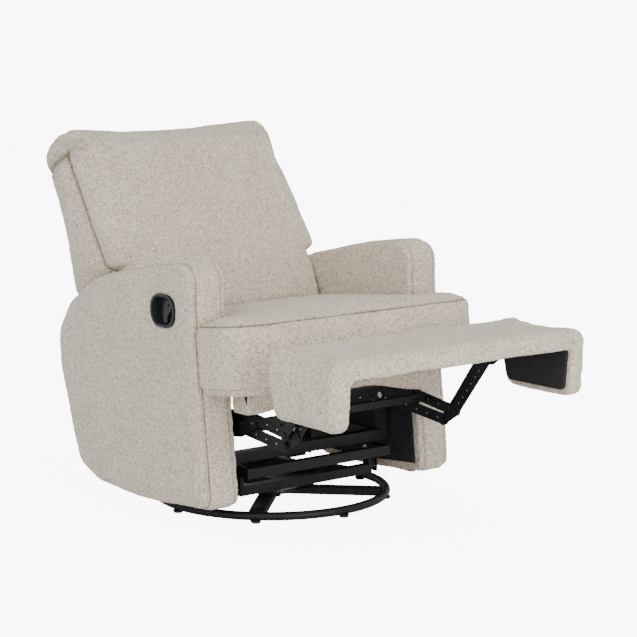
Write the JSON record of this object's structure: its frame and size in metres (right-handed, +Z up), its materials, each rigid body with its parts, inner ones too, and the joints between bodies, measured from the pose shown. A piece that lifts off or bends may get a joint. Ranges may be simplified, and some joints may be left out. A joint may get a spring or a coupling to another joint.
{
  "type": "swivel glider recliner armchair",
  "caption": "Upholstered recliner armchair on a round swivel glider base, with a folding winged footrest, a T-shaped seat cushion and a reclining back.",
  "frame": {"origin": "on the floor at the centre of the ring base, on the swivel axis", "axes": "+Z up, the chair faces -Y, the sitter's right is -X"},
  "size_m": [0.7905, 1.3239, 0.941],
  "materials": {
    "boucle_fabric": "looped woven upholstery, matt",
    "black_lining": "thin matt dust cover",
    "plywood": "bare",
    "black_plastic": "fine texture",
    "black_rubber": "matt",
    "black_steel": "satin powder coat",
    "zinc_steel": "zinc plated"
  },
  "bodies": {
    "base": {"base_ring": "black_steel", "base_cross_bars": "black_steel", "base_hub": "black_steel", "swivel_bearing": "zinc_steel", "glide_feet": "black_rubber"},
    "swivel": {"swivel_plate": "black_steel", "swivel_bolt": "zinc_steel", "swivel_frame": "black_steel", "swing_upper_pins": "zinc_steel"},
    "front_swing_links": {"swing_link_front_left": "black_steel", "swing_link_front_right": "black_steel"},
    "rear_swing_links": {"swing_link_rear_left": "black_steel", "swing_link_rear_right": "black_steel"},
    "chair": {"glider_frame": "black_steel", "swing_lower_pins": "zinc_steel", "mechanism_plate_left": "black_steel", "mechanism_plate_right": "black_steel", "recline_bracket_left": "black_steel", "recline_bracket_right": "black_steel", "mechanism_spacers": "zinc_steel", "frame_bolts": "zinc_steel", "mechanism_pins": "black_steel", "arm_board_left": "plywood", "arm_board_right": "plywood", "arm_pad_left": "boucle_fabric", "arm_pad_right": "boucle_fabric", "arm_liner_left": "black_lining", "arm_liner_right": "black_lining", "handle_housing": "black_plastic", "release_cable": "zinc_steel", "seat_rail_front": "plywood", "seat_rail_rear": "plywood", "seat_springs": "zinc_steel", "seat_deck": "black_lining", "seat_apron": "boucle_fabric", "seat_cushion": "boucle_fabric"},
    "front_links": {"front_link_left": "black_steel", "front_link_right": "black_steel", "front_link_rivets": "black_steel", "torque_tube": "black_steel"},
    "rear_links": {"rear_link_left": "black_steel", "rear_link_right": "black_steel"},
    "couplers": {"coupler_link_left": "black_steel", "coupler_link_right": "black_steel", "coupler_rivets": "black_steel"},
    "control_links": {"control_link_left": "black_steel", "control_link_right": "black_steel"},
    "footrest": {"footrest_pad": "boucle_fabric", "footrest_board": "plywood", "footrest_wing_boards": "plywood", "footrest_bracket_left": "black_steel", "footrest_bracket_right": "black_steel", "footrest_rivets": "black_steel"},
    "back": {"back_cushion": "boucle_fabric", "back_frame": "plywood", "back_springs": "zinc_steel", "back_rear_cover": "boucle_fabric", "back_bracket_left": "black_steel", "back_bracket_right": "black_steel"},
    "release_paddle_body": {"release_paddle": "black_plastic"}
  },
  "joints": [
    {"name": "swivel_turn", "type": "hinge", "parent": "base", "child": "swivel", "pos_m": [0, 0, 0.05], "axis": [0, 0, 1], "continuous": true},
    {"name": "glide_front", "type": "hinge", "parent": "swivel", "child": "front_swing_links", "pos_m": [0, -0.14, 0.125], "axis": [1, 0, 0], "range_deg": [-14, 14]},
    {"name": "glide_rear", "type": "hinge", "parent": "swivel", "child": "rear_swing_links", "pos_m": [0, 0.14, 0.125], "axis": [1, 0, 0], "range_deg": [-14.2, 14.2]},
    {"name": "glide_level", "type": "hinge", "parent": "front_swing_links", "child": "chair", "pos_m": [0, -0.14, 0.072], "axis": [1, 0, 0], "range_deg": [-14.2, 14.2]},
    {"name": "footrest_fold", "type": "hinge", "parent": "chair", "child": "front_links", "pos_m": [0, -0.2595, 0.2818], "axis": [1, 0, 0], "range_deg": [0, 96.75]},
    {"name": "rear_link_turn", "type": "hinge", "parent": "chair", "child": "rear_links", "pos_m": [0, -0.2154, 0.2495], "axis": [1, 0, 0], "range_deg": [-0.2, 97.4]},
    {"name": "coupler_turn", "type": "hinge", "parent": "front_links", "child": "couplers", "pos_m": [0, -0.4301, 0.2604], "axis": [1, 0, 0], "range_deg": [-101.9, 0.2]},
    {"name": "control_turn", "type": "hinge", "parent": "front_links", "child": "control_links", "pos_m": [0, -0.4042, 0.2621], "axis": [1, 0, 0], "range_deg": [-101.3, 0.2]},
    {"name": "footrest_tilt", "type": "hinge", "parent": "couplers", "child": "footrest", "pos_m": [0, -0.5475, 0.4096], "axis": [1, 0, 0], "range_deg": [-0.2, 88.4]},
    {"name": "recline", "type": "hinge", "parent": "chair", "child": "back", "pos_m": [0, 0.25, 0.403], "axis": [-1, 0, 0], "range_deg": [-12, 16]},
    {"name": "release_pull", "type": "hinge", "parent": "chair", "child": "release_paddle_body", "pos_m": [-0.38, -0.1, 0.552], "axis": [1, 0, 0], "range_deg": [0, 20], "stiffness_Nm_per_rad": 0.6, "springref_deg": -17.19}
  ],
  "couplings": [
    {"joint": "glide_rear", "follows": "glide_front", "ratio": 1},
    {"joint": "glide_level", "follows": "glide_front", "ratio": -1},
    {"joint": "rear_link_turn", "follows": "footrest_fold", "ratio": 1.004},
    {"joint": "coupler_turn", "follows": "footrest_fold", "ratio": -1.0511},
    {"joint": "control_turn", "follows": "footrest_fold", "ratio": -1.0444},
    {"joint": "footrest_tilt", "follows": "footrest_fold", "ratio": 0.91204}
  ]
}
